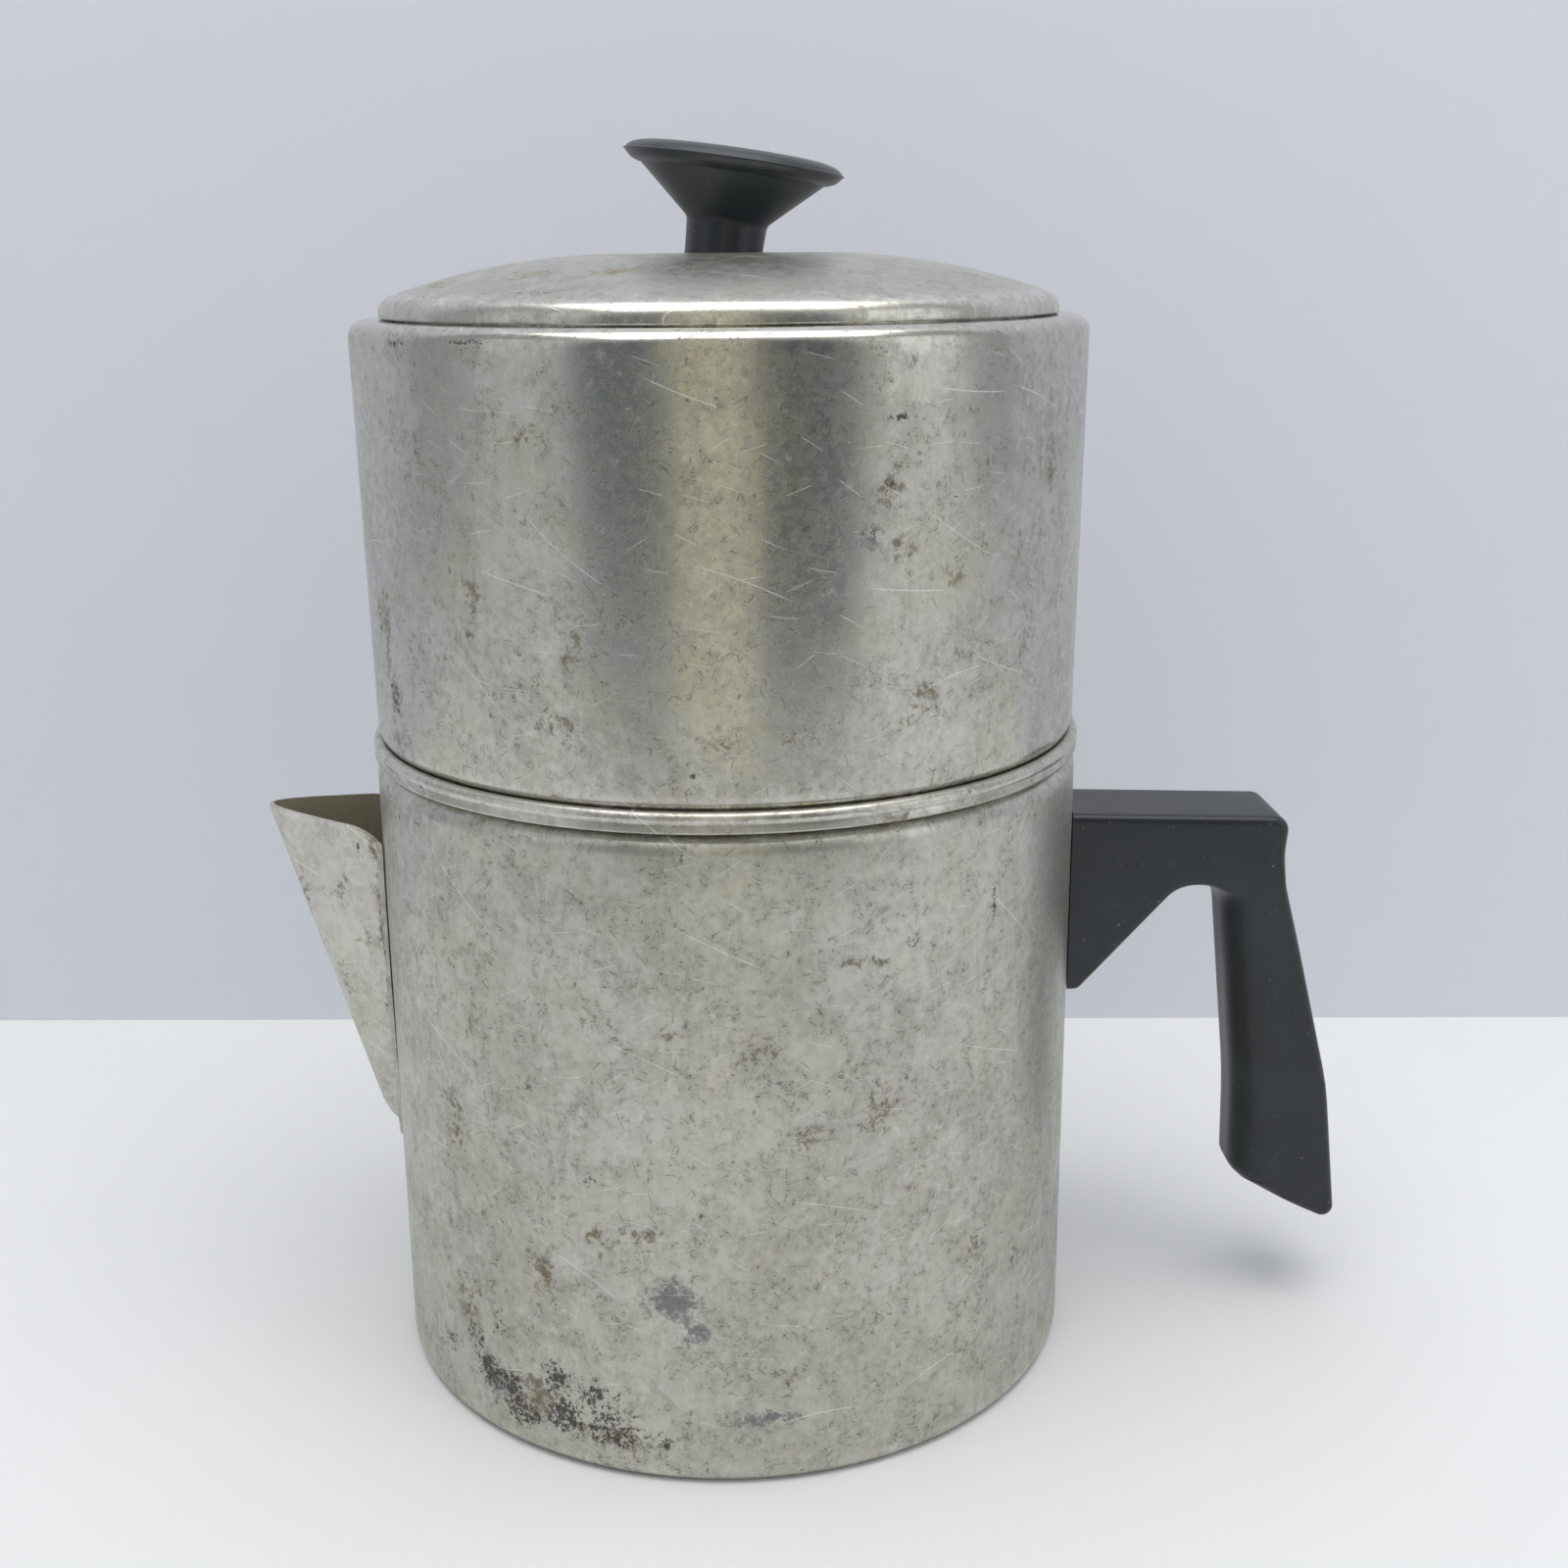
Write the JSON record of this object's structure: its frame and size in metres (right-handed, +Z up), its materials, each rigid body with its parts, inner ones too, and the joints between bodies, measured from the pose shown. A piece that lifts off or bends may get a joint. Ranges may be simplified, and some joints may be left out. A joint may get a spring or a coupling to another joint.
{
  "type": "drip coffee pot",
  "caption": "Stove-top drip coffee pot: a spouted server with a side handle, a perforated basket with a spreader, a water reservoir and a domed lid with a knob, all stacked.",
  "frame": {"origin": "centre of the server's flat base, on the pot's axis", "axes": "+Z up along the pot's axis, +X towards the handle, the spout points to -X"},
  "size_m": [0.2116, 0.1334, 0.2291],
  "materials": {
    "aluminium_worn": "satin, scratched and water-stained",
    "bakelite": "satin moulded phenolic",
    "brass": "turned",
    "steel": "plated"
  },
  "bodies": {
    "server": {"server_body": "aluminium_worn", "spout": "aluminium_worn", "handle": "bakelite", "handle_insert_upper": "brass", "handle_insert_lower": "brass", "handle_screw_upper": "steel", "handle_screw_lower": "steel", "handle_washer_upper": "steel", "handle_washer_lower": "steel"},
    "basket": {"basket_shell": "aluminium_worn"},
    "spreader": {"spreader_plate": "aluminium_worn", "spreader_grip": "aluminium_worn"},
    "reservoir": {"reservoir_body": "aluminium_worn"},
    "lid": {"lid_shell": "aluminium_worn", "knob": "bakelite", "knob_insert": "brass", "knob_screw": "steel", "knob_washer": "steel"}
  },
  "joints": [
    {"name": "basket_lift", "type": "slide", "parent": "server", "child": "basket", "axis": [0, 0, 1], "range_m": [0, 0.06]},
    {"name": "spreader_lift", "type": "slide", "parent": "basket", "child": "spreader", "axis": [0, 0, 1], "range_m": [0, 0.0024]},
    {"name": "reservoir_lift", "type": "slide", "parent": "basket", "child": "reservoir", "axis": [0, 0, 1], "range_m": [0, 0.025]},
    {"name": "lid_lift", "type": "slide", "parent": "reservoir", "child": "lid", "axis": [0, 0, 1], "range_m": [0, 0.03]}
  ]
}
